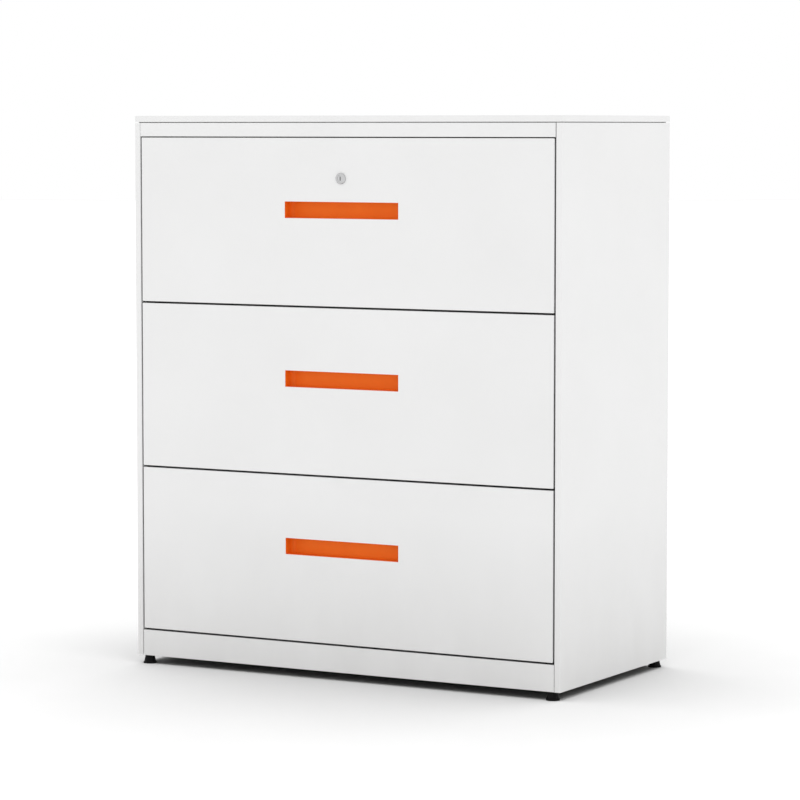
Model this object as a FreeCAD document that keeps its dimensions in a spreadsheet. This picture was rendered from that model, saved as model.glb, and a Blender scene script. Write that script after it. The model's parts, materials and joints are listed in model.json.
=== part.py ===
import FreeCAD, Part
import os
import Sketcher

# Lateral filing cabinet with three drawers, made of folded steel sheet. Millimetres, +Z up.
# The front faces -Y. The origin lies on the floor below the middle of the cabinet.

document = FreeCAD.newDocument("filing_cabinet")
dims = document.addObject("Spreadsheet::Sheet", "dims")

sizes = (
    # The cabinet as a whole, from the floor up.
    ("width", "900"),
    ("depth", "450"),
    ("foot_height", "16"),
    ("plinth_height", "49"),
    ("drawer_height", "308"),
    ("rail_height", "25.5"),
    ("top_height", "11.5"),
    # Gaps that show: below each front, above the top one, beside the fronts, under the top panel, beside the
    # front rail and at the left end of the plinth and the bottom panel.
    ("front_gap", "3.5"),
    ("rail_gap", "2"),
    ("side_gap", "3"),
    ("top_seam", "1.5"),
    ("rail_seam", "0.7"),
    ("plinth_seam", "1.8"),
    # Sheet, its inside bend radius, and the gap between pieces fitted into each other.
    ("gauge", "0.8"),
    ("bend", "1"),
    ("fit", "0.2"),
    # Front edge of the side panels, and the returns of the panels.
    ("edge_width", "12"),
    ("flange", "25"),
    ("top_round", "1.6"),
    ("channel_width", "16"),
    ("channel_inset", "6"),
    # Posts behind the side panels' front edges, and the rails that tie them together.
    ("post_gauge", "1.2"),
    ("post_width", "40"),
    ("post_gap", "2"),
    ("slot_width", "6"),
    ("slot_height", "18"),
    ("slot_rise", "120"),
    ("slot_step", "60"),
    ("cross_height", "24"),
    ("cross_depth", "30"),
    # Telescopic slides: sections, what stays inside when open, balls between them, cages for the balls.
    ("slide_height", "45.6"),
    ("slide_depth", "12.7"),
    ("slide_gauge", "1.2"),
    ("slide_lip", "3.4"),
    ("lip_gap", "2.2"),
    ("slide_overlap", "20"),
    ("slide_rise", "60"),
    ("ball", "2.9"),
    ("ball_play", "0.05"),
    ("cage_gauge", "0.8"),
    ("cage_play", "0.2"),
    ("cage_gap", "1.1"),
    ("cage_margin", "5"),
    # Drawers: hollow front, box below the front's top edge and before the case's rear, hanging-file bars.
    ("front_depth", "28"),
    ("front_round", "1.5"),
    ("liner_flange", "10"),
    ("box_rise", "14"),
    ("box_drop", "54"),
    ("box_clear", "35"),
    ("hem", "12"),
    ("hem_drop", "8"),
    ("file_setback", "30"),
    ("file_rear", "25"),
    ("file_drop", "16"),
    ("file_gauge", "2"),
    # Recessed handle: window in the front, cup behind it, hollow above for the fingertips.
    ("handle_width", "240"),
    ("handle_height", "30.5"),
    ("handle_drop", "132"),
    ("handle_clear", "0.7"),
    ("handle_wall", "1.5"),
    ("handle_grip", "12"),
    ("handle_lip", "4"),
    ("handle_rim", "7"),
    ("handle_corner", "9"),
    # Lock in the top drawer, above the handle's middle.
    ("lock_rise", "58"),
    ("head_radius", "10.3"),
    ("head_proud", "3"),
    ("head_bevel", "1.2"),
    ("barrel_radius", "8"),
    ("lock_nut_flats", "22"),
    ("lock_nut_height", "3"),
    ("plug_radius", "6"),
    ("plug_sink", "0.4"),
    ("key_width", "1.6"),
    ("key_height", "7.4"),
    ("key_depth", "12"),
    ("turn_play", "0.1"),
    ("cam_gauge", "2"),
    ("cam_radius", "7"),
    ("crank", "6"),
    ("pin_radius", "2"),
    ("pin_play", "0.5"),
    ("rod_gauge", "2"),
    ("rod_height", "12"),
    ("rod_gap", "4.5"),
    ("rod_space", "0.6"),
    ("rod_show", "1.5"),
    # Lock bar inside the right upright, its hooks for the two lower drawers and its guides.
    ("bar_play", "0.3"),
    ("bar_foot", "60"),
    ("hook_reach", "12"),
    ("hook_height", "10"),
    ("hook_drop", "28"),
    ("hook_play", "1"),
    ("guide_wall", "1.2"),
    ("guide_height", "14"),
    # Feet and their nuts, screws of the back panel.
    ("foot_inset", "20"),
    ("foot_setback", "11.5"),
    ("foot_base", "12.5"),
    ("foot_neck", "8.5"),
    ("foot_band", "3"),
    ("foot_step", "0.6"),
    ("stud_radius", "4"),
    ("stud_length", "26"),
    ("stud_play", "0.2"),
    ("foot_nut_flats", "13"),
    ("foot_nut_height", "6.5"),
    ("screw_flats", "8"),
    ("screw_head", "1.8"),
    ("screw_inset", "10"),
    ("screw_margin", "60"),
)
for row, (alias, size) in enumerate(sizes, start=1):
    dims.set(f"A{row}", size)
    dims.setAlias(f"A{row}", alias)
document.recompute()

# Levels and faces that several pieces share.
DRAWERS = 3
HALF = "(dims.width / 2)"
FRONT = "(-dims.depth / 2)"
BACK = "(dims.depth / 2)"
UNDER = "dims.foot_height"
PLINTH_TOP = "(dims.foot_height + dims.plinth_height)"
PITCH = "(dims.drawer_height + dims.front_gap)"
RAIL_UNDER = f"({PLINTH_TOP} + {DRAWERS} * {PITCH} + dims.rail_gap)"
CASE_TOP = f"({RAIL_UNDER} + dims.rail_height)"
TOP_UNDER = f"({CASE_TOP} + dims.top_seam)"
TOP_FACE = f"({TOP_UNDER} + dims.top_height)"
OPENING = "(dims.width / 2 - dims.edge_width)"
PANEL = f"({OPENING} - dims.fit)"
FACE = f"({OPENING} - dims.side_gap)"
BOX = f"({OPENING} - dims.slide_depth)"
LINER = f"({FRONT} + dims.front_depth)"
BOX_END = f"({BACK} - dims.box_clear)"
BOX_TOP = "(dims.drawer_height - dims.box_drop)"
HANDLE = "(dims.drawer_height - dims.handle_drop)"
LOCK = f"({HANDLE} + dims.lock_rise)"
POST_FRONT = f"({LINER} + dims.post_gap)"
SIDES = (("left", -1), ("right", 1))
FACETS = 12
PLANES = {"X": "YZ_Plane", "Y": "XZ_Plane", "Z": "XY_Plane"}
NEAR = 0.001

# Depths inside the hollow fronts at which the lock's pieces lie.
ROD_BACK = f"({LINER} - dims.gauge - dims.rod_gap)"
ROD_FRONT = f"({ROD_BACK} - dims.rod_gauge)"
CAM_BACK = f"({ROD_FRONT} - dims.rod_space)"
CAM_FRONT = f"({CAM_BACK} - dims.cam_gauge)"
BARREL_END = f"({CAM_FRONT} - dims.turn_play)"
GUIDE_MARGIN = "(dims.bar_play + dims.guide_wall)"

pieces = []


def drawer_under(place):
    """Level of the lower edge of a drawer's front, the top drawer being drawer 1."""
    return f"({PLINTH_TOP} + dims.front_gap + {DRAWERS - place} * {PITCH})"


def number(expression):
    """Value of an expression."""
    return float(dims.evalExpression(expression))


def new_body(label):
    """Empty body that becomes one solid."""
    body = document.addObject("PartDesign::Body", label)
    body.Label = label
    return body


def plane_across(body, axis):
    """A body's own plane across an axis."""
    return [each for each in body.Origin.OriginFeatures if each.Role == PLANES[axis]][0]


def sketch_across(body, axis, level):
    """Empty sketch across an axis at a level along it."""
    sketch = body.newObject("Sketcher::SketchObject", "outline")
    sketch.AttachmentSupport = [(plane_across(body, axis), "")]
    sketch.MapMode = "FlatFace"
    sign = "-" if axis == "Y" else ""
    sketch.setExpression("AttachmentOffset.Base.z", f"{sign}({level})")
    return sketch


def pin(sketch, edge, end, u, v):
    """Holds one point of a sketch at its place from the origin."""
    for kind, size in (("DistanceX", u), ("DistanceY", v)):
        rule = Sketcher.Constraint(kind, -1, 1, edge, end, number(size))
        place = sketch.addConstraint(rule)
        sketch.setExpression(f"Constraints[{place}]", size)


def draw_polygon(sketch, corners):
    """Closed outline through corners."""
    first = sketch.GeometryCount
    spots = [FreeCAD.Vector(number(u), number(v), 0) for u, v in corners]
    count = len(spots)
    for place in range(count):
        sketch.addGeometry(Part.LineSegment(spots[place], spots[(place + 1) % count]))
    for place in range(count):
        following = first + (place + 1) % count
        sketch.addConstraint(Sketcher.Constraint("Coincident", first + place, 2, following, 1))
    for place, (u, v) in enumerate(corners):
        pin(sketch, first + place, 1, u, v)


def draw_circle(sketch, u, v, radius):
    """Circle round a point."""
    middle = FreeCAD.Vector(number(u), number(v), 0)
    edge = sketch.addGeometry(Part.Circle(middle, FreeCAD.Vector(0, 0, 1), number(radius)))
    pin(sketch, edge, 3, u, v)
    place = sketch.addConstraint(Sketcher.Constraint("Radius", edge, number(radius)))
    sketch.setExpression(f"Constraints[{place}]", radius)


def draw(sketch, outlines):
    """Outlines, each of them corners or a circle's middle and radius."""
    for outline in outlines:
        if isinstance(outline, tuple):
            draw_circle(sketch, *outline)
        else:
            draw_polygon(sketch, outline)


def add(body, axis, start, end, outlines):
    """Solid with the given outlines from start to end along an axis."""
    sketch = sketch_across(body, axis, end if axis == "Y" else start)
    draw(sketch, outlines)
    feature = body.newObject("PartDesign::Pad", "pad")
    feature.Profile = sketch
    feature.setExpression("Length", f"({end}) - ({start})")
    return feature


def cut(body, axis, start, end, outlines):
    """Opening with the given outlines from start to end along an axis."""
    sketch = sketch_across(body, axis, start if axis == "Y" else end)
    draw(sketch, outlines)
    feature = body.newObject("PartDesign::Pocket", "pocket")
    feature.Profile = sketch
    feature.setExpression("Length", f"({end}) - ({start})")
    return feature


def box(u0, u1, v0, v1):
    """Corners of a rectangle."""
    return [(u0, v0), (u1, v0), (u1, v1), (u0, v1)]


def hexagon(u, v, flats):
    """Corners of a hexagon with the given width across its flats."""
    half = f"{flats} / 2"
    point = f"{flats} / sqrt(3)"
    return [
        (f"{u} + {point}", v),
        (f"{u} + {point} / 2", f"{v} + {half}"),
        (f"{u} - {point} / 2", f"{v} + {half}"),
        (f"{u} - {point}", v),
        (f"{u} - {point} / 2", f"{v} - {half}"),
        (f"{u} + {point} / 2", f"{v} - {half}"),
    ]


def facets(u, v, radius):
    """Corners of the many-sided grip of a foot."""
    turns = [360 * step / FACETS for step in range(FACETS)]
    return [(f"{u} + cos({turn}) * {radius}", f"{v} + sin({turn}) * {radius}") for turn in turns]


def edges_at(shape, axis, corners):
    """Names of the edges that run along an axis through the given corners."""
    across = [place for place in range(3) if "XYZ"[place] != axis]
    spots = [(number(u), number(v)) for u, v in corners]
    names = []
    for count, edge in enumerate(shape.Edges, start=1):
        ends = [vertex.Point for vertex in edge.Vertexes]
        if len(ends) != 2:
            continue
        near = [abs(ends[0][place] - ends[1][place]) < NEAR for place in across]
        if not all(near):
            continue
        for spot in spots:
            apart = [abs(ends[0][place] - spot[step]) for step, place in enumerate(across)]
            if max(apart) < NEAR:
                names.append(f"Edge{count}")
    return names


def round_edges(body, feature, axis, corners, radius):
    """Rounds the edges that run along an axis through the given corners."""
    document.recompute()
    fillet = body.newObject("PartDesign::Fillet", "round")
    fillet.Base = (feature, edges_at(feature.Shape, axis, corners))
    fillet.setExpression("Radius", radius)
    return fillet


def add_sheet(body, axis, start, end, path, gauge, turn, bends):
    """Sheet folded along a path of right angles, its thickness left (1) or right (-1) of it.

    Its bends are rounded on both faces, on the outside with no inside radius, or left sharp.
    """
    spots = [(number(u), number(v)) for u, v in path]
    inner = []
    for place, (u, v) in enumerate(path):
        across_u = 0
        across_v = 0
        for leg in (place - 1, place):
            if 0 <= leg < len(path) - 1:
                run_u = spots[leg + 1][0] - spots[leg][0]
                run_v = spots[leg + 1][1] - spots[leg][1]
                if abs(run_u) > abs(run_v):
                    across_v = turn if run_u > 0 else -turn
                else:
                    across_u = -turn if run_v > 0 else turn
        inner.append((f"{u} + {across_u} * {gauge}", f"{v} + {across_v} * {gauge}"))
    feature = add(body, axis, start, end, [path + inner[::-1]])
    if bends == "outside":
        round_edges(body, feature, axis, path[1:-1], gauge)
    if bends == "both":
        outside = round_edges(body, feature, axis, path[1:-1], f"dims.bend + {gauge}")
        round_edges(body, outside, axis, inner[1:-1], "dims.bend")


def sheet_body(label, axis, start, end, path, gauge, turn, bends="sharp"):
    """Body made of one folded sheet."""
    body = new_body(label)
    add_sheet(body, axis, start, end, path, gauge, turn, bends)
    return body


def flip(side, corners):
    """Corners on the left (-1) or right (1) half."""
    return [(f"{side} * ({u})", v) for u, v in corners]


def spread(side, inner, outer):
    """Start and end along X on the left or right half."""
    return (inner, outer) if side > 0 else (f"-({outer})", f"-({inner})")


def finish(label, parts, lift=None):
    """Names one piece, of one or several solids, and lifts it to its level."""
    piece = parts[0]
    if len(parts) > 1:
        piece = document.addObject("Part::Compound", label)
        piece.Links = parts
    piece.Label = label
    if lift:
        piece.setExpression("Placement.Base.z", lift)
    pieces.append(piece)


# Side panels. The front edge is folded back on itself, ending before the lock bar's guides and cut away
# beside the plinth, and a return stiffens every other edge.
STUD_X = f"({HALF} - dims.foot_inset)"
STUD_Y = f"({BACK} - dims.foot_setback)"
FLANGE_END = f"({BACK} - dims.flange - 2 * dims.gauge)"
EDGE_END = f"({ROD_FRONT} - {GUIDE_MARGIN} - dims.fit)"
EDGE_BEND = f"({FRONT} + dims.gauge + dims.bend)"
for name, side in SIDES:
    path = [
        (OPENING, EDGE_END),
        (OPENING, FRONT),
        (HALF, FRONT),
        (HALF, BACK),
        (f"{HALF} - dims.flange", BACK),
    ]
    folded = flip(side, path)
    panel = sheet_body(f"{name}_side_panel", "Z", UNDER, CASE_TOP, folded, "dims.gauge", side, "both")
    reach = (f"{HALF} - dims.flange", f"{HALF} - dims.gauge / 2")
    ledge = flip(side, box(*reach, f"-{FLANGE_END}", FLANGE_END))
    add(panel, "Z", f"{CASE_TOP} - dims.gauge", CASE_TOP, [ledge])
    add(panel, "Z", UNDER, f"{UNDER} + dims.gauge", [ledge])
    fold = flip(side, box(OPENING, f"{OPENING} + dims.gauge", EDGE_BEND, EDGE_END))
    cut(panel, "Z", UNDER, PLINTH_TOP, [fold])
    finish(f"{name}_side_panel", [panel])

# Back panel between the side panels' rear returns, with holes for the rear feet.
SKIN = f"({BACK} - dims.gauge)"
path = [
    (f"{SKIN} - dims.flange", CASE_TOP),
    (SKIN, CASE_TOP),
    (SKIN, UNDER),
    (f"{SKIN} - dims.flange", UNDER),
]
INSIDE = f"({HALF} - dims.gauge - dims.bend - dims.fit)"
back = sheet_body("back_panel", "X", f"-{INSIDE}", INSIDE, path, "dims.gauge", -1)
holes = [(f"{side} * {STUD_X}", STUD_Y, "dims.stud_radius + dims.stud_play") for name, side in SIDES]
cut(back, "Z", UNDER, f"{UNDER} + dims.gauge", holes)
finish("back_panel", [back])

# Screws that hold the side panels' rear returns to the back panel.
SCREW_ROWS = 5
heads = []
for name, side in SIDES:
    for row in range(SCREW_ROWS):
        run = f"({CASE_TOP} - {UNDER} - 2 * dims.screw_margin)"
        level = f"{UNDER} + dims.screw_margin + {row} / {SCREW_ROWS - 1} * {run}"
        head = new_body(f"screw_{name}_{row}")
        outline = hexagon(f"{side} * ({HALF} - dims.screw_inset)", level, "dims.screw_flats")
        add(head, "Y", BACK, f"{BACK} + dims.screw_head", [outline])
        heads.append(head)
finish("back_screws", heads)

# Top panel: a shallow pan on four channels that stand on the side panels, the front rail and the back panel.
top = new_body("top_panel")
whole = add(top, "Z", TOP_UNDER, TOP_FACE, [box(f"-{HALF}", HALF, FRONT, BACK)])
upright = [(f"{a} * {HALF}", f"{b} * {BACK}") for a in (-1, 1) for b in (-1, 1)]
rounded = round_edges(top, whole, "Z", upright, "dims.top_round")
document.recompute()
rim = [f"Edge{count}" for count, edge in enumerate(rounded.Shape.Edges, start=1)
       if edge.BoundBox.ZMin > number(TOP_FACE) - NEAR]
softened = top.newObject("PartDesign::Fillet", "rim")
softened.Base = (rounded, rim)
softened.setExpression("Radius", "dims.top_round - dims.gauge / 2")
hollow = box(f"-{HALF} + dims.gauge", f"{HALF} - dims.gauge", f"{FRONT} + dims.gauge", f"{BACK} - dims.gauge")
cut(top, "Z", f"{TOP_UNDER} - dims.gauge", f"{TOP_FACE} - dims.gauge", [hollow])
CHANNEL_OUT = f"({HALF} - dims.channel_inset)"
CHANNEL_IN = f"({CHANNEL_OUT} - dims.channel_width)"
CEILING = f"({TOP_FACE} - dims.gauge)"
for name, side in SIDES:
    path = [(CHANNEL_IN, CEILING), (CHANNEL_IN, CASE_TOP), (CHANNEL_OUT, CASE_TOP), (CHANNEL_OUT, CEILING)]
    add_sheet(top, "Y", f"-{FLANGE_END}", FLANGE_END, flip(side, path), "dims.gauge", side, "sharp")
CHANNEL_FAR = f"({BACK} - dims.channel_inset)"
CHANNEL_NEAR = f"({CHANNEL_FAR} - dims.channel_width)"
for end in (-1, 1):
    path = [
        (CHANNEL_NEAR, CEILING),
        (CHANNEL_NEAR, CASE_TOP),
        (CHANNEL_FAR, CASE_TOP),
        (CHANNEL_FAR, CEILING),
    ]
    add_sheet(top, "X", f"-{CHANNEL_OUT}", CHANNEL_OUT, flip(end, path), "dims.gauge", end, "sharp")
finish("top_panel", [top])

# Plinth, front rail and bottom panel.
path = [
    (f"{FRONT} + dims.flange", PLINTH_TOP),
    (FRONT, PLINTH_TOP),
    (FRONT, UNDER),
    (f"{FRONT} + dims.flange", UNDER),
]
PLINTH_LEFT = f"(dims.plinth_seam - {OPENING})"
plinth = sheet_body("plinth", "X", PLINTH_LEFT, PANEL, path, "dims.gauge", 1, "outside")
holes = [(f"{side} * {STUD_X}", f"-{STUD_Y}", "dims.stud_radius + dims.stud_play") for name, side in SIDES]
cut(plinth, "Z", UNDER, f"{UNDER} + dims.gauge", holes)
finish("plinth", [plinth])

path = [
    (f"{FRONT} + dims.flange", CASE_TOP),
    (FRONT, CASE_TOP),
    (FRONT, RAIL_UNDER),
    (f"{FRONT} + dims.flange", RAIL_UNDER),
]
RAIL_END = f"({OPENING} - dims.rail_seam)"
rail = sheet_body("front_rail", "X", f"-{RAIL_END}", RAIL_END, path, "dims.gauge", 1, "outside")
finish("front_rail", [rail])

DECK = f"({PLINTH_TOP} - dims.gauge)"
path = [
    (f"{FRONT} + dims.gauge", f"{DECK} - dims.flange"),
    (f"{FRONT} + dims.gauge", DECK),
    (f"{SKIN} - dims.gauge", DECK),
    (f"{SKIN} - dims.gauge", f"{DECK} - dims.flange"),
]
finish("bottom_panel", [sheet_body("bottom_panel", "X", PLINTH_LEFT, PANEL, path, "dims.gauge", -1)])

# Posts: open channels against the side panels, with slots beside every drawer.
SLOTS = 2
for name, side in SIDES:
    pair = []
    for end in (1, -1):
        near = POST_FRONT if end > 0 else f"(-{POST_FRONT} - dims.post_width)"
        far = f"({near} + dims.post_width)"
        skin = f"({HALF} - dims.gauge)"
        path = [(skin, near), (OPENING, near), (OPENING, far), (skin, far)]
        start = f"{UNDER} + dims.gauge"
        stop = f"{CASE_TOP} - dims.gauge"
        post = sheet_body(f"{name}_post", "Z", start, stop, flip(side, path), "dims.post_gauge", -side)
        middle = f"({near} + dims.post_width / 2)"
        slots = []
        for place in range(1, DRAWERS + 1):
            for step in range(SLOTS):
                low = f"{drawer_under(place)} + dims.slot_rise + {step} * dims.slot_step"
                slots.append(box(f"{middle} - dims.slot_width / 2", f"{middle} + dims.slot_width / 2",
                                 low, f"{low} + dims.slot_height"))
        cut(post, "X", *spread(side, OPENING, f"{OPENING} + dims.post_gauge"), slots)
        pair.append(post)
    finish(f"{name}_posts", pair)

# Cross rails behind the gaps between the fronts.
rails = []
for place in range(1, DRAWERS):
    middle = f"({drawer_under(place)} - dims.front_gap / 2)"
    high = f"({middle} + dims.cross_height / 2)"
    low = f"({middle} - dims.cross_height / 2)"
    far = f"({POST_FRONT} + dims.cross_depth)"
    path = [(far, high), (POST_FRONT, high), (POST_FRONT, low), (far, low)]
    rails.append(sheet_body("cross_rail", "X", f"-{OPENING}", OPENING, path, "dims.post_gauge", 1))
finish("cross_rails", rails)

# Telescopic slides. Three channels stand one inside the other, open towards each other, and rows
# of balls roll between their flanges. Depth is measured from the post towards the drawer.
SLIDE_LENGTH = f"(-2 * {POST_FRONT})"
TRAVEL = f"({SLIDE_LENGTH} - dims.slide_overlap)"
REACH = "(dims.slide_depth - dims.lip_gap)"
STEP = "(dims.slide_gauge + dims.ball + 2 * dims.ball_play)"
OUTER_HALF = "(dims.slide_height / 2)"
MIDDLE_HALF = f"({OUTER_HALF} - {STEP})"
INNER_HALF = f"({MIDDLE_HALF} - {STEP})"
ROW = "(dims.slide_gauge + dims.ball_play + dims.ball / 2)"
CAGE_SPACE = "(dims.cage_gauge + 2 * dims.cage_play)"
MIDDLE_WEB = f"(dims.slide_gauge + {CAGE_SPACE})"
INNER_CAGE_WEB = f"({MIDDLE_WEB} + dims.slide_gauge + dims.cage_play)"
CAGE_HALF = f"(({SLIDE_LENGTH} - {TRAVEL} / 2 - dims.cage_margin) / 2)"
CAGE_REACH = f"({REACH} - dims.slide_gauge - dims.cage_gap - {INNER_CAGE_WEB})"


def channel(label, side, web, reach, half, gauge, start, end, lip=None):
    """Channel with its web at one depth and its flanges reaching to another."""
    near = f"({OPENING} - {web})"
    far = f"({OPENING} - {reach})"
    path = [
        (far, f"dims.slide_rise + {half}"),
        (near, f"dims.slide_rise + {half}"),
        (near, f"dims.slide_rise - {half}"),
        (far, f"dims.slide_rise - {half}"),
    ]
    if lip:
        path.insert(0, (far, f"dims.slide_rise + {half} - {lip}"))
        path.append((far, f"dims.slide_rise - {half} + {lip}"))
    turn = -side if number(far) < number(near) else side
    return sheet_body(label, "Y", start, end, flip(side, path), gauge, turn)


for place in range(1, DRAWERS + 1):
    lift = drawer_under(place)
    whole = (POST_FRONT, f"-{POST_FRONT}")
    caged = (f"-{CAGE_HALF}", CAGE_HALF)
    outer = [channel("outer", side, "0", REACH, OUTER_HALF,
                     "dims.slide_gauge", *whole, "dims.slide_lip") for name, side in SIDES]
    finish(f"outer_slides_{place}", outer, lift)
    middle = [channel("middle", side, MIDDLE_WEB, REACH, MIDDLE_HALF,
                      "dims.slide_gauge", *whole, "dims.slide_lip") for name, side in SIDES]
    finish(f"middle_slides_{place}", middle, lift)
    tip = f"({INNER_CAGE_WEB} + dims.cage_gauge + dims.cage_play)"
    inner = [channel("inner", side, "dims.slide_depth", tip, INNER_HALF,
                     "dims.slide_gauge", *whole) for name, side in SIDES]
    finish(f"inner_slides_{place}", inner, lift)
    web = "(dims.slide_gauge + dims.cage_play)"
    cages = [channel("outer_cage", side, web, f"({web} + {CAGE_REACH})",
                     f"({OUTER_HALF} - {ROW} + dims.cage_gauge / 2)",
                     "dims.cage_gauge", *caged) for name, side in SIDES]
    finish(f"outer_ball_cages_{place}", cages, lift)
    cages = [channel("inner_cage", side, INNER_CAGE_WEB, f"({INNER_CAGE_WEB} + {CAGE_REACH})",
                     f"({MIDDLE_HALF} - {ROW} + dims.cage_gauge / 2)",
                     "dims.cage_gauge", *caged) for name, side in SIDES]
    finish(f"inner_ball_cages_{place}", cages, lift)

# Levels of the lock's rod and hooks. The crank pin swings 45 degrees to either side of straight down.
ROD_DROP = "((1 + sqrt(2)) / 2 * dims.crank)"
ROD_UNDER = f"({LOCK} - {ROD_DROP} - dims.rod_height / 2)"
STROKE = "(2 * dims.crank)"
HOOK = "(dims.drawer_height - dims.hook_drop)"

# Drawers. Heights are measured from the lower edge of the front.
for place in range(1, DRAWERS + 1):
    lift = drawer_under(place)

    # Front: a hollow pan with the window of the handle.
    front = new_body(f"drawer_front_{place}")
    block = add(front, "Y", FRONT, LINER, [box(f"-{FACE}", FACE, "0", "dims.drawer_height")])
    corners = [(f"{a} * {FACE}", level) for a in (-1, 1) for level in ("0", "dims.drawer_height")]
    rounded = round_edges(front, block, "Y", corners, "dims.front_round")
    document.recompute()
    rim = [f"Edge{count}" for count, edge in enumerate(rounded.Shape.Edges, start=1)
           if edge.BoundBox.YMax < number(FRONT) + NEAR]
    softened = front.newObject("PartDesign::Fillet", "rim")
    softened.Base = (rounded, rim)
    softened.setExpression("Radius", "dims.front_round - dims.gauge / 2")
    hollow = box(f"-{FACE} + dims.gauge", f"{FACE} - dims.gauge",
                 "dims.gauge", "dims.drawer_height - dims.gauge")
    cut(front, "Y", f"{FRONT} + dims.gauge", LINER, [hollow])
    window = box("-dims.handle_width / 2", "dims.handle_width / 2",
                 f"{HANDLE} - dims.handle_height / 2", f"{HANDLE} + dims.handle_height / 2")
    cut(front, "Y", FRONT, f"{FRONT} + dims.gauge", [window])
    flange = (f"{FACE} - dims.gauge", FACE)
    if place == 1:
        cut(front, "Y", FRONT, f"{FRONT} + dims.gauge", [("0", LOCK, "dims.barrel_radius + dims.fit")])
        mouth = box(f"{ROD_FRONT} - dims.bar_play", f"{ROD_BACK} + dims.bar_play",
                    f"{ROD_UNDER} - dims.bar_play", f"{ROD_UNDER} + dims.rod_height + dims.bar_play")
        cut(front, "X", *flange, [mouth])
    else:
        entry = f"{HOOK} + dims.hook_height + dims.hook_play"
        catch = f"{HOOK} - {STROKE} - dims.hook_play"
        notch = [
            (f"{ROD_FRONT} - dims.bar_play", catch),
            (f"{ROD_BACK} + dims.bar_play", catch),
            (f"{ROD_BACK} + dims.bar_play", f"{HOOK} - dims.hook_play"),
            (LINER, f"{HOOK} - dims.hook_play"),
            (LINER, entry),
            (f"{ROD_FRONT} - dims.bar_play", entry),
        ]
        cut(front, "X", *flange, [notch])
    finish(f"drawer_front_{place}", [front], lift)

    # Liner that closes the hollow front and carries the box.
    INSET = "(dims.gauge + dims.fit)"
    path = [
        (f"{LINER} - dims.liner_flange", f"dims.drawer_height - {INSET}"),
        (LINER, f"dims.drawer_height - {INSET}"),
        (LINER, INSET),
        (f"{LINER} - dims.liner_flange", INSET),
    ]
    across = (f"-{FACE} + {INSET}", f"{FACE} - {INSET}")
    liner = sheet_body(f"drawer_liner_{place}", "X", *across, path, "dims.gauge", -1)
    if place > 1:
        gate = box(f"{OPENING} - dims.hook_reach - dims.hook_play", FACE, f"{HOOK} - dims.hook_play", entry)
        cut(liner, "Y", f"{LINER} - dims.gauge", LINER, [gate])
    finish(f"drawer_liner_{place}", [liner], lift)

    # Sides with a foot flange and a hem along the top.
    walls = []
    for name, side in SIDES:
        path = [
            (f"{BOX} - dims.hem", "dims.box_rise"),
            (BOX, "dims.box_rise"),
            (BOX, BOX_TOP),
            (f"{BOX} - dims.hem", BOX_TOP),
            (f"{BOX} - dims.hem", f"{BOX_TOP} - dims.hem_drop"),
        ]
        folded = flip(side, path)
        walls.append(sheet_body(f"wall_{name}", "Y", LINER, BOX_END, folded, "dims.gauge", side, "outside"))
    finish(f"drawer_sides_{place}", walls, lift)

    # Back with its hem to the rear, and the bottom that lies on the sides' flanges.
    path = [
        (BOX_END, "dims.box_rise"),
        (BOX_END, BOX_TOP),
        (f"{BOX_END} + dims.hem", BOX_TOP),
        (f"{BOX_END} + dims.hem", f"{BOX_TOP} - dims.hem_drop"),
    ]
    rear = sheet_body(f"drawer_back_{place}", "X", f"-{BOX}", BOX, path, "dims.gauge", -1)
    finish(f"drawer_back_{place}", [rear], lift)
    floor = new_body(f"drawer_bottom_{place}")
    tray = box(f"-{BOX} + dims.gauge + dims.bend", f"{BOX} - dims.gauge - dims.bend", LINER, BOX_END)
    add(floor, "Z", "dims.box_rise + dims.gauge", "dims.box_rise + 2 * dims.gauge", [tray])
    finish(f"drawer_bottom_{place}", [floor], lift)

    # Bars for hanging files, their ends resting on the hems of the sides.
    bars = []
    span = f"({BOX} - dims.hem - dims.fit)"
    lug = f"({BOX} - dims.gauge - dims.bend)"
    front_bar = f"({LINER} + dims.file_setback)"
    rear_bar = f"({BOX_END} - dims.file_rear - dims.file_gauge)"
    for start in (front_bar, rear_bar):
        corners = [
            (f"-{span}", f"{BOX_TOP} - dims.file_drop"),
            (span, f"{BOX_TOP} - dims.file_drop"),
            (span, BOX_TOP),
            (lug, BOX_TOP),
            (lug, f"{BOX_TOP} + dims.file_gauge"),
            (f"-{lug}", f"{BOX_TOP} + dims.file_gauge"),
            (f"-{lug}", BOX_TOP),
            (f"-{span}", BOX_TOP),
        ]
        bar = new_body("file_bar")
        add(bar, "Y", start, f"{start} + dims.file_gauge", [corners])
        bars.append(bar)
    finish(f"file_bars_{place}", bars, lift)

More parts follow.
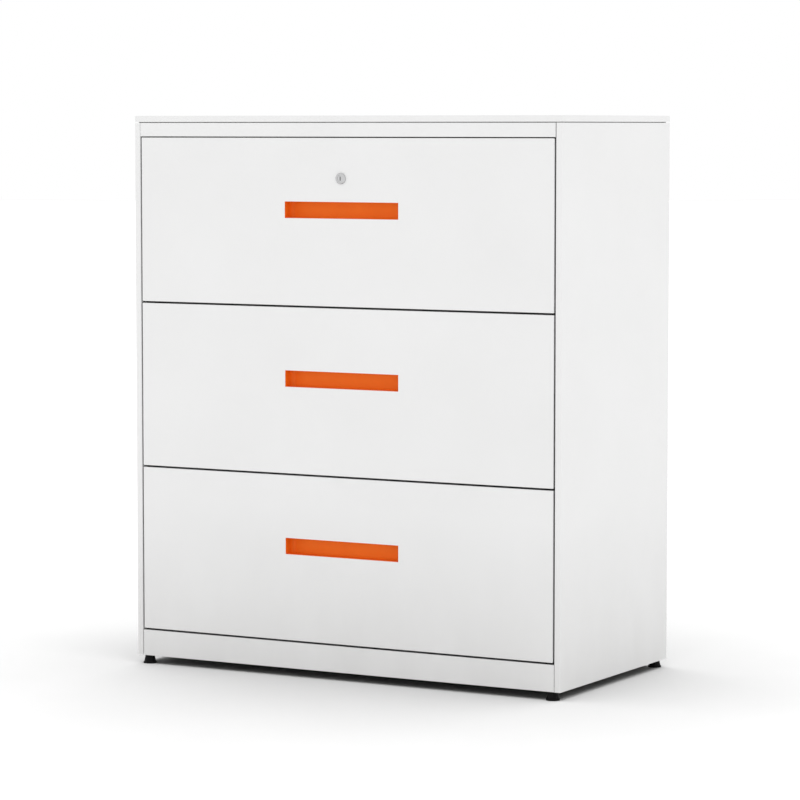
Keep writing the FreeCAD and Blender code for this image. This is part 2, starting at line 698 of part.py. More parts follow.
    # Handle cup: rim behind the front's sheet, rounded ends, hollow behind the upper edge.
    cup = new_body(f"handle_{place}")
    rim_front = f"({FRONT} + dims.gauge)"
    rim_back = f"({rim_front} + dims.handle_lip)"
    floor_y = f"({LINER} - dims.gauge - dims.handle_clear - dims.handle_wall)"
    end_x = "(dims.handle_width / 2)"
    low = f"({HANDLE} - dims.handle_height / 2)"
    lip = f"({HANDLE} + dims.handle_height / 2)"
    high = f"({lip} + dims.handle_grip)"
    wall = "dims.handle_wall"
    shell = box(f"-{end_x} - {wall}", f"{end_x} + {wall}", f"{low} - {wall}", f"{high} + {wall}")
    add(cup, "Y", rim_front, f"{floor_y} + {wall}", [shell])
    rim = box(f"-{end_x} - dims.handle_rim", f"{end_x} + dims.handle_rim",
              f"{low} - dims.handle_rim", f"{high} + dims.handle_rim")
    add(cup, "Y", rim_front, f"{rim_front} + {wall}", [rim])
    cut(cup, "Y", rim_front, rim_back, [box(f"-{end_x}", end_x, low, lip)])
    cavity = cut(cup, "Y", rim_back, floor_y, [box(f"-{end_x}", end_x, low, high)])
    ends = [(f"{a} * {end_x}", floor_y) for a in (-1, 1)]
    inner = round_edges(cup, cavity, "Z", ends, "dims.handle_corner")
    ends = [(f"{a} * ({end_x} + {wall})", f"{floor_y} + {wall}") for a in (-1, 1)]
    outer = round_edges(cup, inner, "Z", ends, f"dims.handle_corner + {wall}")
    round_edges(cup, outer, "X", [(rim_back, lip)], "dims.handle_lip / 3")
    finish(f"handle_{place}", [cup], lift)

# Lock housing with a proud head, and the nut that clamps it behind the front's sheet.
lift = drawer_under(1)
HEAD_FRONT = f"({FRONT} - dims.head_proud)"
housing = new_body("lock_housing")
add(housing, "Y", FRONT, BARREL_END, [("0", LOCK, "dims.barrel_radius")])
head = add(housing, "Y", HEAD_FRONT, FRONT, [("0", LOCK, "dims.head_radius")])
document.recompute()
rim = [f"Edge{count}" for count, edge in enumerate(head.Shape.Edges, start=1)
       if edge.BoundBox.YMax < number(HEAD_FRONT) + NEAR]
softened = housing.newObject("PartDesign::Chamfer", "rim")
softened.Base = (head, rim)
softened.setExpression("Size", "dims.head_bevel")
cut(housing, "Y", HEAD_FRONT, BARREL_END, [("0", LOCK, "dims.plug_radius + dims.turn_play")])
finish("lock_housing", [housing], lift)

nut = new_body("lock_nut")
nut_front = f"({FRONT} + dims.gauge)"
hole = ("0", LOCK, "dims.barrel_radius + dims.turn_play")
outline = hexagon("0", LOCK, "dims.lock_nut_flats")
add(nut, "Y", nut_front, f"{nut_front} + dims.lock_nut_height", [outline, hole])
finish("lock_nut", [nut], lift)

# Plug with the keyway. The cam at its rear end carries the crank pin that drives the rod.
plug = new_body("lock_plug")
PLUG_FRONT = f"({HEAD_FRONT} + dims.plug_sink)"
add(plug, "Y", PLUG_FRONT, CAM_FRONT, [("0", LOCK, "dims.plug_radius")])
keyway = box("-dims.key_width / 2", "dims.key_width / 2",
             f"{LOCK} - dims.key_height / 2", f"{LOCK} + dims.key_height / 2")
cut(plug, "Y", PLUG_FRONT, f"{PLUG_FRONT} + dims.key_depth", [keyway])
finish("lock_plug", [plug], lift)

cam = new_body("lock_cam")
plate = [
    ("dims.cam_radius", f"{LOCK} + dims.cam_radius"),
    ("-dims.cam_radius", f"{LOCK} + dims.cam_radius"),
    ("-dims.crank - 2 * dims.pin_radius", LOCK),
    ("-dims.crank - 2 * dims.pin_radius", f"{LOCK} - dims.crank - 2 * dims.pin_radius"),
    ("0", f"{LOCK} - dims.crank - 2 * dims.pin_radius"),
    ("dims.cam_radius", LOCK),
]
add(cam, "Y", CAM_FRONT, CAM_BACK, [plate])
add(cam, "Y", CAM_BACK, ROD_BACK, [("-dims.crank", f"{LOCK} - dims.crank", "dims.pin_radius")])
finish("lock_cam", [cam], lift)

# Rod with an upright slot for the crank pin. Its tip leaves the front behind the right upright's edge.
rod = new_body("lock_rod")
tip = f"({FACE} + dims.rod_show)"
yoke = "(dims.pin_radius + dims.pin_play)"
rod_top = f"({ROD_UNDER} + dims.rod_height)"
outline = [
    ("-dims.crank - 2 * dims.cam_radius", ROD_UNDER),
    (f"{tip} - dims.rod_height", ROD_UNDER),
    (tip, rod_top),
    ("-dims.crank - 2 * dims.cam_radius", rod_top),
]
add(rod, "Y", ROD_FRONT, ROD_BACK, [outline])
slot = box(f"-dims.crank - {yoke}", f"-dims.crank + {yoke}",
           f"{LOCK} - sqrt(2) * dims.crank - {yoke}", f"{LOCK} - dims.crank + {yoke}")
cut(rod, "Y", ROD_FRONT, ROD_BACK, [slot])
finish("lock_rod", [rod], lift)

# Lock bar: the rod's slanting tip pushes it down, and its hooks hold the lower drawers.
bar = new_body("lock_bar")
BAR_OUT = f"({HALF} - dims.gauge - dims.guide_wall - dims.bar_play)"
BAR_IN = f"({OPENING} + dims.fit + {GUIDE_MARGIN})"
BAR_TOP = f"({drawer_under(1)} + {rod_top} + {BAR_IN} - {tip} - dims.bar_play)"
BAR_FOOT = f"({drawer_under(DRAWERS)} + dims.slot_rise - dims.bar_foot)"
outline = [
    (BAR_IN, BAR_FOOT),
    (BAR_OUT, BAR_FOOT),
    (BAR_OUT, f"{BAR_TOP} + {BAR_OUT} - {BAR_IN}"),
    (BAR_IN, BAR_TOP),
]
add(bar, "Y", ROD_FRONT, ROD_BACK, [outline])
for place in range(2, DRAWERS + 1):
    base = f"{drawer_under(place)} + {HOOK}"
    hook = box(f"{OPENING} - dims.hook_reach", f"{BAR_IN} + dims.bar_play",
               base, f"{base} + dims.hook_height")
    add(bar, "Y", ROD_FRONT, ROD_BACK, [hook])
finish("lock_bar", [bar])

# Guides of the bar on the right side panel.
guides = []
for place in range(1, DRAWERS + 1):
    guide = new_body("guide")
    middle = f"({drawer_under(place)} + dims.slot_rise)"
    outer = box(f"{BAR_IN} - {GUIDE_MARGIN}", f"{HALF} - dims.gauge",
                f"{ROD_FRONT} - {GUIDE_MARGIN}", f"{ROD_BACK} + {GUIDE_MARGIN}")
    inner = box(f"{BAR_IN} - dims.bar_play", f"{BAR_OUT} + dims.bar_play",
                f"{ROD_FRONT} - dims.bar_play", f"{ROD_BACK} + dims.bar_play")
    add(guide, "Z", middle, f"{middle} + dims.guide_height", [outer, inner])
    guides.append(guide)
finish("lock_bar_guides", guides)

# Nuts on the returns of the plinth and back panel, and the feet screwed into them.
nuts = []
for end, row in (("front", -1), ("back", 1)):
    for name, side in SIDES:
        spot = (f"{side} * {STUD_X}", f"{row} * {STUD_Y}")
        nut = new_body(f"nut_{end}_{name}")
        base = f"({UNDER} + dims.gauge)"
        outer = hexagon(*spot, "dims.foot_nut_flats")
        inner = (*spot, "dims.stud_radius + dims.turn_play")
        add(nut, "Z", base, f"{base} + dims.foot_nut_height", [outer, inner])
        nuts.append(nut)

        label = f"{end}_{name}_foot"
        foot = new_body(label)
        shoulder = "(dims.foot_height - dims.stud_play)"
        wide = "(dims.foot_base - dims.foot_step)"
        grip = add(foot, "Z", "0", shoulder, [facets(*spot, wide)])
        document.recompute()
        sides = [f"Face{count}" for count, face in enumerate(grip.Shape.Faces, start=1)
                 if abs(face.normalAt(0, 0).z) < NEAR]
        taper = foot.newObject("PartDesign::Draft", "taper")
        taper.Base = (grip, sides)
        taper.NeutralPlane = (plane_across(foot, "Z"), [""])
        slope = f"({wide} - dims.foot_neck) / {shoulder}"
        taper.setExpression("Angle", f"atan(cos(180 / {FACETS}) * {slope})")
        add(foot, "Z", "0", "dims.foot_band", [(*spot, "dims.foot_base")])
        add(foot, "Z", shoulder, f"{shoulder} + dims.stud_length", [(*spot, "dims.stud_radius")])
        finish(label, [foot])
finish("foot_nuts", nuts)

document.recompute()

# Every piece is whole, every cut has taken something away, and each piece goes to its own file.
for each in document.Objects:
    if "Invalid" in each.State or "Error" in each.State:
        raise RuntimeError(f"{each.Label} is not in order")
    if each.TypeId == "PartDesign::Pocket" and each.Shape.Volume > each.BaseFeature.Shape.Volume - NEAR:
        raise RuntimeError(f"{each.Label} cuts nothing")
os.makedirs("parts", exist_ok=True)
for piece in pieces:
    if piece.Shape.isNull() or not piece.Shape.isValid():
        raise RuntimeError(f"{piece.Label} has no sound shape")
    piece.Shape.exportStep(f"parts/{piece.Label}.step")
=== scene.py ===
import json
import math
import bmesh
import bpy
from mathutils import Matrix, Vector


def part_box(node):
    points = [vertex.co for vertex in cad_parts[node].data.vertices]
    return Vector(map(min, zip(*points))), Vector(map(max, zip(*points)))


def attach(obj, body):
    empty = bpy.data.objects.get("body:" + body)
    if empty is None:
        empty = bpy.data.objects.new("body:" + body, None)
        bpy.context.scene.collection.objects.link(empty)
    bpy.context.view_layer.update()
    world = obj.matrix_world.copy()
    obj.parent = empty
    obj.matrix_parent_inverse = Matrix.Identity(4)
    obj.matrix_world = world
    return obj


# Finishes, small fasteners and slide balls of a lateral filing cabinet, with its floor, light and camera.
# Metres, +Z up. The front faces -Y.

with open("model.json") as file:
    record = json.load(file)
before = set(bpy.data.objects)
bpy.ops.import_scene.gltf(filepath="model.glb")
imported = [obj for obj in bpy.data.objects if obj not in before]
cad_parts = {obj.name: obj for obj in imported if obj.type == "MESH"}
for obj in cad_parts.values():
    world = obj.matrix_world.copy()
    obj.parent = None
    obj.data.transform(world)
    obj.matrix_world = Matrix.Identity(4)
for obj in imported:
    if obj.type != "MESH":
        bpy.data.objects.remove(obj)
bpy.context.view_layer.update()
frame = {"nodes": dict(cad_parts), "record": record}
nodes = frame["nodes"]

MM = 0.001
DRAWERS = (1, 2, 3)
SIDES = (-1, 1)
TURNS = (0, 1, 2, 3)
QUARTER = math.pi / 2
SHARP_ANGLE = 40
X_AXIS = Vector((1, 0, 0))
Y_AXIS = Vector((0, 1, 0))
Z_AXIS = Vector((0, 0, 1))

# Balls of the slides, in two rows at a depth from the web of their cage.
BALL_RADIUS = 1.45 * MM
BALL_PITCH = 12.5 * MM
BALL_DEPTH = 1.8 * MM
BALL_SEGMENTS = 12
BALL_RINGS = 8
CAGE_GAUGE = 0.8 * MM

# Pan-head screws of the slide members that run with the drawer: the power that curves the dome, its rings
# as shares of the radius, places along the member as shares of its length, and the cross recess.
SLIDE_GAUGE = 1.2 * MM
SCREW_RADIUS = 3.6 * MM
SCREW_HEIGHT = 1.5 * MM
SCREW_CURVE = 3
SCREW_RINGS = (0.75, 0.87, 0.95, 1)
SCREW_PLACES = (0.08, 0.36, 0.64, 0.92)
RECESS_ARM = 0.45 * MM
RECESS_REACH = 2.2 * MM
RECESS_FLOOR = 0.4 * MM
RECESS_STEPS = 4

# Pressed washers of the screws at the back.
WASHER_RADIUS = 5.6 * MM
WASHER_HEIGHT = 0.7 * MM
WASHER_EDGE = 0.42 * MM
WASHER_BEVEL = 0.4 * MM
WASHER_SEGMENTS = 28

# Painted shade on the white coat in the gaps: the depth over which it greys and its tone there, for the
# pieces that stand inside the case, for the panels with an open edge and for all others.
INSIDE = ("left_posts", "right_posts", "cross_rails", "bottom_panel")
INSIDE_PAINTED_SHADE = (40 * MM, 0.05)
EDGED = ("left_side_panel", "right_side_panel")
EDGED_PAINTED_SHADE = (8 * MM, 0.45)
GAP_PAINTED_SHADE = (8 * MM, 0.16)

# Painted shade on the white coat, darker towards the floor in uneven patches: its share at the floor and
# the heights between which it fades.
FLOOR_SHADE_SHARE = 0.5
FLOOR_SHADE_START = 0.02
FLOOR_SHADE_END = 0.32

# Tones of the painted shade near the floor and of the painted highlight on edges of the white coat, and of
# the finishes from their darker to their lighter patches.
FLOOR_SHADE_TONE = (0.59, 0.585, 0.575)
EDGE_HIGHLIGHT_TONE = (0.85, 0.85, 0.85)
WHITE_TONES = ((0.813, 0.813, 0.811), (0.833, 0.833, 0.832))
ORANGE_TONES = ((0.92, 0.192, 0.009), (0.95, 0.212, 0.012))
BLACK_TONES = ((0.004, 0.004, 0.0045), (0.012, 0.0115, 0.011))
ZINC_TONES = ((0.60, 0.61, 0.62), (0.72, 0.73, 0.75))
CAGE_TONES = ((0.36, 0.36, 0.355), (0.5, 0.5, 0.49))
CHROME_TONES = ((0.5, 0.5, 0.505), (0.615, 0.615, 0.62))
BALL_TONES = ((0.55, 0.55, 0.55), (0.7, 0.7, 0.7))
FLOOR_TONES = ((0.247, 0.247, 0.247), (0.253, 0.253, 0.253))

# Places of the colour sockets among a mix node's inputs and outputs.
MIX_INPUTS = (6, 7)
MIX_OUTPUT = 2

# Camera, fitted to the photograph's edges.
CAMERA_PLACE = (3.1078, -5.5297, 1.0203)
CAMERA_YAW = 29.36
CAMERA_PITCH = -4.645
CAMERA_LENS = 151.55
CAMERA_SENSOR = 36

# Floor, white surroundings, and a wide soft light from overhead that falls on the floor alone.
FLOOR_RADIUS = 40
FLOOR_SEGMENTS = 96
DOME_STRENGTH = 1
OVERHEAD_STRENGTH = 10.3
OVERHEAD_SPREAD = 100
OVERHEAD_HEIGHT = 3


# Shader nodes


def new_material(name):
    """Material with its node tree and shader."""
    material = bpy.data.materials.new(name)
    material.use_nodes = True
    tree = material.node_tree
    return material, tree, tree.nodes["Principled BSDF"]


def link(tree, source, target):
    tree.links.new(source, target)


def place_on(tree, stretch=None):
    """Coordinates that stay with the piece, stretched along its axes."""
    spot = tree.nodes.new("ShaderNodeTexCoord").outputs["Object"]
    if not stretch:
        return spot
    mapping = tree.nodes.new("ShaderNodeMapping")
    mapping.inputs["Scale"].default_value = stretch
    link(tree, spot, mapping.inputs["Vector"])
    return mapping.outputs["Vector"]


def noise(tree, spot, scale, detail):
    """Noise of the given scale in features per metre."""
    node = tree.nodes.new("ShaderNodeTexNoise")
    node.inputs["Scale"].default_value = scale
    node.inputs["Detail"].default_value = detail
    link(tree, spot, node.inputs["Vector"])
    return node.outputs["Fac"]


def ranged(tree, value, low, high, start=0.3, end=0.7):
    """A value from start to end carried over to low to high."""
    node = tree.nodes.new("ShaderNodeMapRange")
    node.inputs["From Min"].default_value = start
    node.inputs["From Max"].default_value = end
    node.inputs["To Min"].default_value = low
    node.inputs["To Max"].default_value = high
    link(tree, value, node.inputs["Value"])
    return node.outputs["Result"]


def blended(tree, share, first, second):
    """Colour between two colours, or between a colour and another blend."""
    node = tree.nodes.new("ShaderNodeMix")
    node.data_type = "RGBA"
    link(tree, share, node.inputs["Factor"])
    for place, colour in zip(MIX_INPUTS, (first, second)):
        socket = node.inputs[place]
        if isinstance(colour, tuple):
            socket.default_value = (*colour, 1)
        else:
            link(tree, colour, socket)
    return node.outputs[MIX_OUTPUT]


def clouded(tree, value, tones, start=0.3, end=0.7):
    """Colour that wanders between two tones."""
    return blended(tree, ranged(tree, value, 0, 1, start, end), *tones)


def bumped(tree, height, strength, depth, below=None):
    """Normal raised by a height, on top of another such normal."""
    node = tree.nodes.new("ShaderNodeBump")
    node.inputs["Strength"].default_value = strength
    node.inputs["Distance"].default_value = depth
    link(tree, height, node.inputs["Height"])
    if below:
        link(tree, below, node.inputs["Normal"])
    return node.outputs["Normal"]


def edges(tree, radius):
    """Share of a point's nearness to a sharp edge."""
    soft = tree.nodes.new("ShaderNodeBevel")
    soft.inputs["Radius"].default_value = radius
    soft.samples = 4
    plain = tree.nodes.new("ShaderNodeNewGeometry")
    dot = tree.nodes.new("ShaderNodeVectorMath")
    dot.operation = "DOT_PRODUCT"
    link(tree, soft.outputs["Normal"], dot.inputs[0])
    link(tree, plain.outputs["Normal"], dot.inputs[1])
    return ranged(tree, dot.outputs["Value"], low=1, high=0, start=0.75, end=1)


def openness(tree, reach):
    """Share of a point's openness from ambient occlusion, none in a narrow gap; it sets where shade is
    painted into the coat.
    """
    node = tree.nodes.new("ShaderNodeAmbientOcclusion")
    node.samples = 8
    node.inputs["Distance"].default_value = reach
    return ranged(tree, node.outputs["AO"], low=0, high=1, start=0.15, end=0.6)


def painted_floor_shade(tree, spot):
    """Share of painted shade on the coat, uneven and thicker towards the floor."""
    split = tree.nodes.new("ShaderNodeSeparateXYZ")
    link(tree, spot, split.inputs["Vector"])
    low = ranged(tree, split.outputs["Z"], FLOOR_SHADE_SHARE, 0, FLOOR_SHADE_START, FLOOR_SHADE_END)
    patches = noise(tree, place_on(tree, stretch=(1, 1, 0.4)), scale=9, detail=4)
    product = tree.nodes.new("ShaderNodeMath")
    product.operation = "MULTIPLY"
    link(tree, low, product.inputs[0])
    link(tree, ranged(tree, patches, low=0.6, high=1), product.inputs[1])
    return product.outputs["Value"]


# Finishes


def white_coated_steel(name, reach, painted_shade_tone):
    """Powder coat: fine orange peel, faint unevenness, a painted highlight on edges, painted shade near the
    floor and in the gaps.
    """
    material, tree, shader = new_material(name)
    spot = place_on(tree)
    cloud = noise(tree, spot, scale=5, detail=3)
    tone = clouded(tree, cloud, WHITE_TONES)
    # Painted shade: the coat darkens towards the floor, in uneven patches.
    tone = blended(tree, painted_floor_shade(tree, spot), tone, FLOOR_SHADE_TONE)
    # Painted highlight: edges of the coat are lightened.
    tone = blended(tree, edges(tree, radius=1.5 * MM), tone, EDGE_HIGHLIGHT_TONE)
    # Painted shade: the coat greys in gaps and corners where ambient occlusion finds neighbours.
    tone = blended(tree, openness(tree, reach), (painted_shade_tone, painted_shade_tone, painted_shade_tone), tone)
    link(tree, tone, shader.inputs["Base Color"])
    sheen = noise(tree, spot, scale=60, detail=3)
    link(tree, ranged(tree, sheen, low=0.36, high=0.46), shader.inputs["Roughness"])
    peel = bumped(tree, noise(tree, spot, scale=420, detail=2), strength=0.25, depth=0.06 * MM)
    grain = noise(tree, spot, scale=2600, detail=1)
    link(tree, bumped(tree, grain, strength=0.15, depth=0.02 * MM, below=peel), shader.inputs["Normal"])
    return material


def orange_plastic():
    """Moulded plastic with a fine matt grain."""
    material, tree, shader = new_material("orange_plastic")
    spot = place_on(tree)
    cloud = noise(tree, spot, scale=25, detail=3)
    link(tree, clouded(tree, cloud, ORANGE_TONES), shader.inputs["Base Color"])
    sheen = noise(tree, spot, scale=180, detail=2)
    link(tree, ranged(tree, sheen, low=0.48, high=0.6), shader.inputs["Roughness"])
    shader.inputs["Specular IOR Level"].default_value = 0.2
    grain = noise(tree, spot, scale=3200, detail=2)
    link(tree, bumped(tree, grain, strength=0.3, depth=0.03 * MM), shader.inputs["Normal"])
    return material


def black_foot_plastic():
    """Black plastic with dusty patches."""
    material, tree, shader = new_material("black_foot_plastic")
    spot = place_on(tree)
    dust = noise(tree, spot, scale=240, detail=4)
    link(tree, clouded(tree, dust, BLACK_TONES, start=0.45, end=0.8), shader.inputs["Base Color"])
    link(tree, ranged(tree, dust, low=0.5, high=0.7), shader.inputs["Roughness"])
    shader.inputs["Specular IOR Level"].default_value = 0.1
    grain = noise(tree, spot, scale=2400, detail=2)
    link(tree, bumped(tree, grain, strength=0.35, depth=0.04 * MM), shader.inputs["Normal"])
    return material


def plated(name, tones, smooth, rough, depth):
    """Rolled and plated steel, streaked along the way it slides."""
    material, tree, shader = new_material(name)
    cloud = noise(tree, place_on(tree), scale=45, detail=4)
    link(tree, clouded(tree, cloud, tones), shader.inputs["Base Color"])
    shader.inputs["Metallic"].default_value = 1
    streaks = noise(tree, place_on(tree, stretch=(900, 14, 900)), scale=1, detail=3)
    link(tree, ranged(tree, streaks, smooth, rough), shader.inputs["Roughness"])
    link(tree, bumped(tree, streaks, strength=0.3, depth=depth), shader.inputs["Normal"])
    return material


def zinc_plated_steel():
    """Bright zinc with a cool, slightly clouded look."""
    return plated("zinc_plated_steel", ZINC_TONES, smooth=0.22, rough=0.4, depth=0.03 * MM)


def cage_steel():
    """Plain strip of the ball cages, greyed by grease."""
    return plated("cage_steel", CAGE_TONES, smooth=0.3, rough=0.5, depth=0.04 * MM)


def lock_chrome():
    """Satin chrome with turned rings about the lock's axis."""
    material, tree, shader = new_material("lock_chrome")
    low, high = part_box("lock_housing")
    middle = (low + high) / 2
    mapping = tree.nodes.new("ShaderNodeMapping")
    mapping.inputs["Location"].default_value = (-middle.x, 0, -middle.z)
    mapping.inputs["Scale"].default_value = (1, 0, 1)
    link(tree, place_on(tree), mapping.inputs["Vector"])
    distance = tree.nodes.new("ShaderNodeVectorMath")
    distance.operation = "LENGTH"
    link(tree, mapping.outputs["Vector"], distance.inputs[0])
    rings = noise(tree, distance.outputs["Value"], scale=5200, detail=2)
    link(tree, clouded(tree, rings, CHROME_TONES), shader.inputs["Base Color"])
    shader.inputs["Metallic"].default_value = 1
    link(tree, ranged(tree, rings, low=0.2, high=0.34), shader.inputs["Roughness"])
    link(tree, bumped(tree, rings, strength=0.3, depth=0.02 * MM), shader.inputs["Normal"])
    return material


def bearing_steel():
    """Polished balls with a trace of grease."""
    material, tree, shader = new_material("bearing_steel")
    film = noise(tree, place_on(tree), scale=300, detail=3)
    link(tree, clouded(tree, film, BALL_TONES), shader.inputs["Base Color"])
    shader.inputs["Metallic"].default_value = 1
    link(tree, ranged(tree, film, low=0.08, high=0.25), shader.inputs["Roughness"])
    return material


def pale_floor():
    """Matt floor without a visible pattern."""
    material, tree, shader = new_material("pale_floor")
    patches = noise(tree, place_on(tree), scale=3, detail=2)
    link(tree, clouded(tree, patches, FLOOR_TONES), shader.inputs["Base Color"])
    shader.inputs["Roughness"].default_value = 0.8
    shader.inputs["Specular IOR Level"].default_value = 0.1
    return material


FINISHES = {
    "white_coated_steel": white_coated_steel("white_coated_steel", *GAP_PAINTED_SHADE),
    "orange_plastic": orange_plastic(),
    "black_foot_plastic": black_foot_plastic(),
    "zinc_plated_steel": zinc_plated_steel(),
    "cage_steel": cage_steel(),
    "lock_chrome": lock_chrome(),
}


def finish_nodes():
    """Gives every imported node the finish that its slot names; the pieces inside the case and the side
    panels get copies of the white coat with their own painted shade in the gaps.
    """
    # Copies of the white coat with painted shade: dark and wide for the pieces inside the case, lighter for
    # the side panels.
    shaded_coats = dict.fromkeys(INSIDE, white_coated_steel("white_coated_steel_wide_shade", *INSIDE_PAINTED_SHADE))
    shaded_coats.update(dict.fromkeys(EDGED, white_coated_steel("white_coated_steel_light_shade", *EDGED_PAINTED_SHADE)))
    for part in frame["record"]["subparts"]:
        piece = nodes[part["node"]]
        material = shaded_coats.get(part["node"], FINISHES[part["material_slot"]])
        if not piece.material_slots:
            piece.data.materials.append(material)
        for held in piece.material_slots:
            held.material = material


# Pieces


def add_piece(name, shape, material, body):
    """Turns a finished shape into a steel piece that rides on a body."""
    mesh = bpy.data.meshes.new(name)
    shape.to_mesh(mesh)
    shape.free()
    mesh.materials.append(material)
    for face in mesh.polygons:
        face.use_smooth = True
    mesh.set_sharp_from_angle(angle=math.radians(SHARP_ANGLE))
    piece = bpy.data.objects.new(name, mesh)
    bpy.context.scene.collection.objects.link(piece)
    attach(piece, body)


def ring(shape, middle, across, radius, angles):
    """Points of an upright circle."""
    points = []
    for angle in angles:
        reach = across * math.cos(angle) + Z_AXIS * math.sin(angle)
        points.append(shape.verts.new(middle + reach * radius))
    return points


def join_rings(shape, rings):
    """Faces between neighbouring rings, and a flat one inside the last."""
    for inner, outer in zip(rings, rings[1:]):
        for place in range(len(inner)):
            shape.faces.new((inner[place - 1], outer[place - 1], outer[place], inner[place]))
    shape.faces.new(rings[-1])


def slide_balls(kind, place, material):
    """Balls in the two rows of each cage of a pair."""
    low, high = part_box(f"{kind}_ball_cages_{place}")
    level = (low.z + high.z) / 2
    row = (high.z - low.z) / 2 - CAGE_GAUGE / 2
    reach = high.x - CAGE_GAUGE - BALL_DEPTH
    count = int((high.y - low.y - 2 * BALL_RADIUS) / BALL_PITCH) + 1
    start = (low.y + high.y - (count - 1) * BALL_PITCH) / 2
    shape = bmesh.new()
    for side in SIDES:
        for up in (-1, 1):
            for step in range(count):
                spot = Vector((side * reach, start + step * BALL_PITCH, level + up * row))
                bmesh.ops.create_uvsphere(shape, u_segments=BALL_SEGMENTS, v_segments=BALL_RINGS,
                                          radius=BALL_RADIUS, matrix=Matrix.Translation(spot))
    add_piece(f"{kind}_balls_{place}", shape, material, f"{kind}_cages_{place}")


def crown(radius):
    """Rise of a screw's head at a radius."""
    return SCREW_HEIGHT * math.sqrt(1 - (radius / SCREW_RADIUS) ** SCREW_CURVE)


def screw_head(shape, spot, side):
    """Pan head that points out from the drawer, with a cross recess.

    Each quarter of a ring begins in the middle of one of the four arms of the cross.
    """
    half = math.asin(RECESS_ARM / RECESS_REACH)
    spread = (QUARTER - 2 * half) / RECESS_STEPS
    quarter = [0] + [half + spread * step for step in range(RECESS_STEPS + 1)]
    angles = [turn * QUARTER + angle for turn in TURNS for angle in quarter]
    diagonals = [turn * QUARTER + QUARTER / 2 for turn in TURNS]
    inset = RECESS_ARM * math.sqrt(2)

    def head_ring(radius, rise, around):
        return ring(shape, spot + X_AXIS * side * rise, Y_AXIS, radius, around)

    radii = [RECESS_REACH] + [SCREW_RADIUS * share for share in SCREW_RINGS]
    rings = [head_ring(radius, crown(radius), angles) for radius in radii]
    join_rings(shape, rings)
    rim = rings[0]
    corners = head_ring(inset, crown(inset), diagonals)
    floor_corners = head_ring(inset, RECESS_FLOOR, diagonals)
    shape.faces.new(floor_corners)
    for turn in TURNS:
        middle = turn * len(quarter)
        arm = (middle - 1, middle, middle + 1)
        ends = [rim[place] for place in arm]
        floor_ends = head_ring(RECESS_REACH, RECESS_FLOOR, [angles[place] for place in arm])
        upper = [corners[turn - 1], *ends, corners[turn]]
        lower = [floor_corners[turn - 1], *floor_ends, floor_corners[turn]]
        shape.faces.new(lower)
        shape.faces.new((corners[turn], *rim[middle + 1:middle + len(quarter)]))
        for place in range(len(upper) - 1):
            shape.faces.new((upper[place], upper[place + 1], lower[place + 1], lower[place]))


def slide_screws(place, material):
    """Screws that hold the inner slide members to a drawer's sides."""
    low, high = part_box(f"inner_slides_{place}")
    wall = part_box(f"drawer_sides_{place}")[1].x
    level = (low.z + high.z) / 2
    shape = bmesh.new()
    for side in SIDES:
        for share in SCREW_PLACES:
            spot = Vector((side * (wall + SLIDE_GAUGE), low.y + share * (high.y - low.y), level))
            screw_head(shape, spot, side)
    bmesh.ops.recalc_face_normals(shape, faces=shape.faces)
    add_piece(f"slide_screws_{place}", shape, material, f"drawer_{place}")


def grouped(corners, reach):
    """Groups of corners that lie near each other."""
    groups = []
    for corner in corners:
        for group in groups:
            if (group[0] - corner).length < reach:
                group.append(corner)
                break
        else:
            groups.append([corner])
    return groups


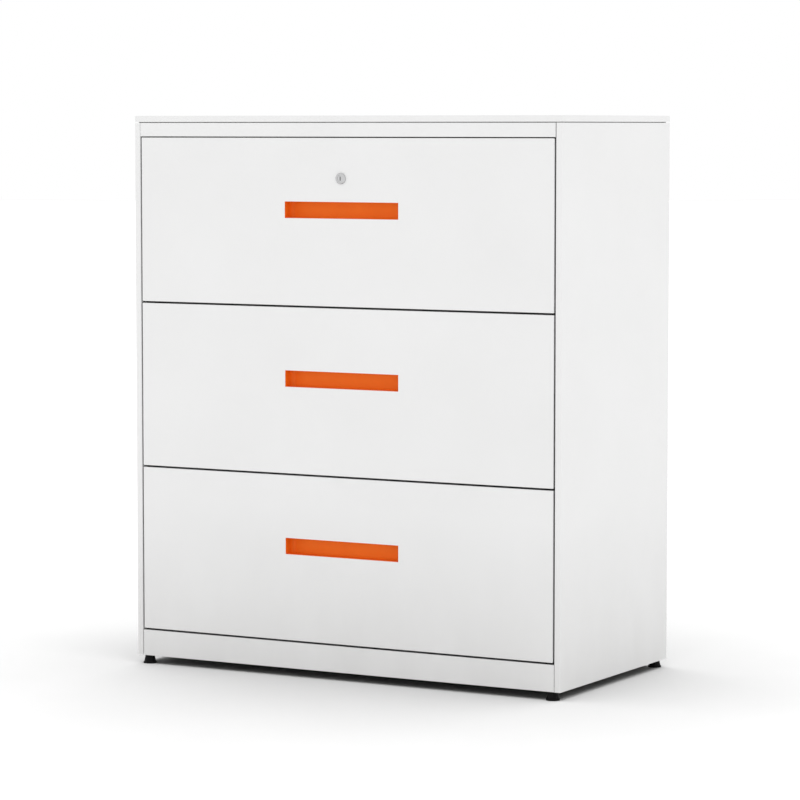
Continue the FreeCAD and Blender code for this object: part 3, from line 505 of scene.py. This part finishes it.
def back_washers(material):
    """Pressed washers under the heads of the screws at the back."""
    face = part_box("back_screws")[0].y
    angles = [2 * math.pi * step / WASHER_SEGMENTS for step in range(WASHER_SEGMENTS)]
    profile = (
        (WASHER_RADIUS - WASHER_BEVEL, WASHER_HEIGHT),
        (WASHER_RADIUS, WASHER_EDGE),
        (WASHER_RADIUS, 0),
    )
    corners = [vertex.co.copy() for vertex in nodes["back_screws"].data.vertices]
    shape = bmesh.new()
    for head in grouped(corners, 2 * WASHER_RADIUS):
        xs = [corner.x for corner in head]
        zs = [corner.z for corner in head]
        middle = Vector(((min(xs) + max(xs)) / 2, face, (min(zs) + max(zs)) / 2))
        rings = [ring(shape, middle + Y_AXIS * rise, X_AXIS, radius, angles) for radius, rise in profile]
        shape.faces.new(rings[0])
        join_rings(shape, rings)
    bmesh.ops.recalc_face_normals(shape, faces=shape.faces)
    add_piece("back_washers", shape, material, "case")


# Studio


def floor():
    """Pale floor that reaches to the horizon."""
    shape = bmesh.new()
    bmesh.ops.create_circle(shape, cap_ends=True, segments=FLOOR_SEGMENTS, radius=FLOOR_RADIUS)
    mesh = bpy.data.meshes.new("floor")
    shape.to_mesh(mesh)
    shape.free()
    mesh.materials.append(pale_floor())
    piece = bpy.data.objects.new("floor", mesh)
    bpy.context.scene.collection.objects.link(piece)
    return piece


def light(ground):
    """White surroundings, and a soft light from overhead that only the floor receives."""
    world = bpy.data.worlds.new("studio")
    world.use_nodes = True
    shader = world.node_tree.nodes["Background"]
    shader.inputs["Color"].default_value = (1, 1, 1, 1)
    shader.inputs["Strength"].default_value = DOME_STRENGTH
    bpy.context.scene.world = world
    lamp = bpy.data.lights.new("overhead", "SUN")
    lamp.energy = OVERHEAD_STRENGTH
    lamp.angle = math.radians(OVERHEAD_SPREAD)
    overhead = bpy.data.objects.new("overhead", lamp)
    overhead.location.z = OVERHEAD_HEIGHT
    bpy.context.scene.collection.objects.link(overhead)
    lit = bpy.data.collections.new("lit_from_overhead")
    lit.objects.link(ground)
    overhead.light_linking.receiver_collection = lit
    bpy.context.scene.view_settings.view_transform = "Standard"


def camera():
    """Eye about level with the cabinet's top, to the right of its front."""
    lens = bpy.data.cameras.new("camera")
    lens.lens = CAMERA_LENS
    lens.sensor_width = CAMERA_SENSOR
    eye = bpy.data.objects.new("camera", lens)
    eye.location = CAMERA_PLACE
    eye.rotation_euler = (math.radians(90 + CAMERA_PITCH), 0, math.radians(CAMERA_YAW))
    bpy.context.scene.collection.objects.link(eye)
    bpy.context.scene.camera = eye


finish_nodes()
polished = bearing_steel()
for place in DRAWERS:
    for kind in ("outer", "inner"):
        slide_balls(kind, place, polished)
    slide_screws(place, FINISHES["zinc_plated_steel"])
back_washers(FINISHES["zinc_plated_steel"])
light(floor())
camera()
